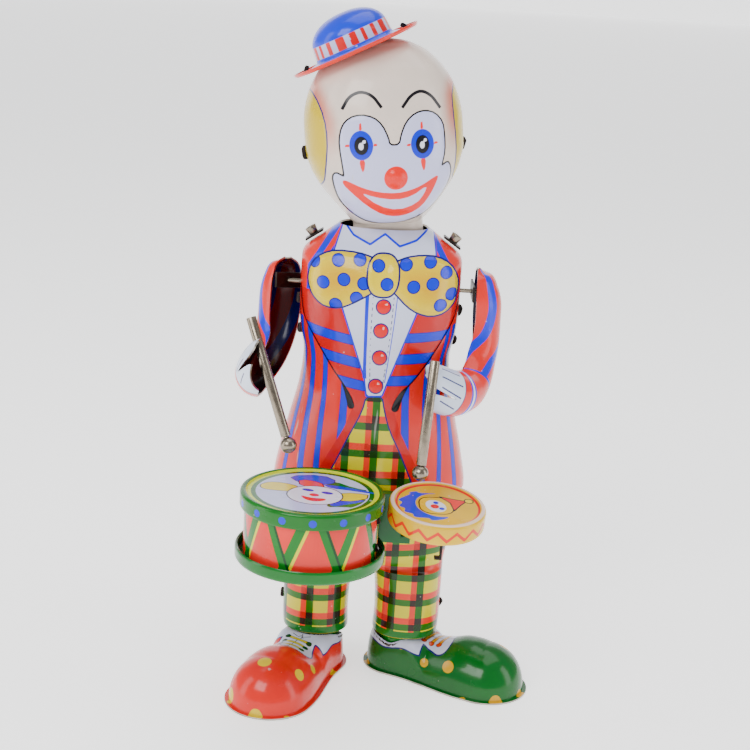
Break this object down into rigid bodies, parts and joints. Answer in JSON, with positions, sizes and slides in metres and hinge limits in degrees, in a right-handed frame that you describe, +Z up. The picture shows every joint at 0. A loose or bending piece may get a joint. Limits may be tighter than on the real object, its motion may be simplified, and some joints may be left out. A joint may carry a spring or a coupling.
{
  "type": "wind-up tin clown drummer",
  "caption": "Standing tin clown that winds up with a key at the back and beats a drum and a small flat drum with two sticks while its head sways.",
  "frame": {"origin": "middle of the bounding box at the ground under the shoes", "axes": "+Z up, -Y the clown's front, +X the clown's left side"},
  "size_m": [0.1015, 0.1072, 0.2203],
  "materials": {
    "coat_tin": "gloss",
    "head_tin": "gloss",
    "hat_tin": "gloss",
    "sleeve_tin": "gloss",
    "left_shoe_tin": "gloss",
    "right_shoe_tin": "gloss",
    "drum_green_tin": "gloss",
    "drum_shell_tin": "gloss",
    "small_drum_tin": "gloss",
    "nickel": "worn nickel plate",
    "dark_steel": "black lacquer",
    "plate_steel": "zinc plate",
    "spring_steel": "blued",
    "brass": "satin"
  },
  "bodies": {
    "toy": {"body_front": "coat_tin", "body_back": "coat_tin", "left_shoe": "left_shoe_tin", "right_shoe": "right_shoe_tin", "left_shoulder_washer": "dark_steel", "left_shoulder_rivet": "nickel", "right_shoulder_washer": "dark_steel", "right_shoulder_rivet": "nickel", "drum_head": "drum_green_tin", "drum_shell": "drum_shell_tin", "drum_tray": "drum_green_tin", "small_drum": "small_drum_tin", "instrument_bracket": "drum_green_tin", "small_drum_hook": "dark_steel", "motor_front_plate": "plate_steel", "motor_back_plate": "plate_steel", "motor_pillar_1": "plate_steel", "motor_pillar_2": "plate_steel", "motor_pillar_3": "plate_steel", "motor_pillar_4": "plate_steel", "mainspring": "spring_steel", "rocker_pin": "nickel", "head_pivot_pin": "nickel", "key_bush": "brass"},
    "winding": {"winding_arbor": "plate_steel", "great_wheel": "brass", "key": "nickel"},
    "second_stage": {"second_arbor": "plate_steel", "second_wheel": "brass"},
    "crank": {"crank_arbor": "plate_steel", "crank_disc": "brass", "escape_wheel": "brass"},
    "pallet": {"pallet": "plate_steel", "pallet_arbor": "plate_steel"},
    "rocker": {"rocker": "plate_steel"},
    "head": {"head_front": "head_tin", "head_back": "head_tin", "head_lever": "plate_steel", "hat": "hat_tin"},
    "right_arm": {"right_arm": "sleeve_tin", "right_arm_bracket": "dark_steel", "right_arm_axle": "nickel", "right_drumstick": "nickel", "right_stick_bead": "nickel"},
    "left_arm": {"left_arm": "sleeve_tin", "left_arm_bracket": "dark_steel", "left_arm_axle": "nickel", "left_drumstick": "nickel", "left_stick_bead": "nickel"}
  },
  "joints": [
    {"name": "key_wind", "type": "hinge", "parent": "toy", "child": "winding", "pos_m": [-0.00764, 0.0146, 0.092], "axis": [0, 1, 0], "continuous": true},
    {"name": "second_stage_turn", "type": "hinge", "parent": "toy", "child": "second_stage", "pos_m": [-0.00032, 0.0146, 0.10466], "axis": [0, 1, 0], "continuous": true},
    {"name": "crank_turn", "type": "hinge", "parent": "toy", "child": "crank", "pos_m": [-0.00764, 0.0146, 0.11495], "axis": [0, 1, 0], "continuous": true},
    {"name": "pallet_rock", "type": "hinge", "parent": "toy", "child": "pallet", "pos_m": [-0.00764, 0.0146, 0.12355], "axis": [0, 1, 0], "range_deg": [-4, 4]},
    {"name": "right_arm_swing", "type": "hinge", "parent": "toy", "child": "right_arm", "pos_m": [-0.03864, 0.0146, 0.1335], "axis": [1, 0, 0], "range_deg": [0, 16]},
    {"name": "left_arm_swing", "type": "hinge", "parent": "toy", "child": "left_arm", "pos_m": [0.02337, 0.0146, 0.1335], "axis": [1, 0, 0], "range_deg": [-16, 0]},
    {"name": "rocker_swing", "type": "hinge", "parent": "toy", "child": "rocker", "pos_m": [-0.00764, 0.0146, 0.1335], "axis": [0, 1, 0], "range_deg": [-9, 0]},
    {"name": "head_sway", "type": "hinge", "parent": "toy", "child": "head", "pos_m": [-0.00604, 0.0146, 0.15], "axis": [0, 1, 0], "range_deg": [0, 12.6]}
  ],
  "couplings": [
    {"joint": "second_stage_turn", "follows": "key_wind", "ratio": -4.8},
    {"joint": "crank_turn", "follows": "key_wind", "ratio": 19.2},
    {"joint": "left_arm_swing", "follows": "right_arm_swing", "ratio": -1},
    {"joint": "rocker_swing", "follows": "right_arm_swing", "ratio": -0.5625},
    {"joint": "head_sway", "follows": "right_arm_swing", "ratio": 0.7875}
  ]
}
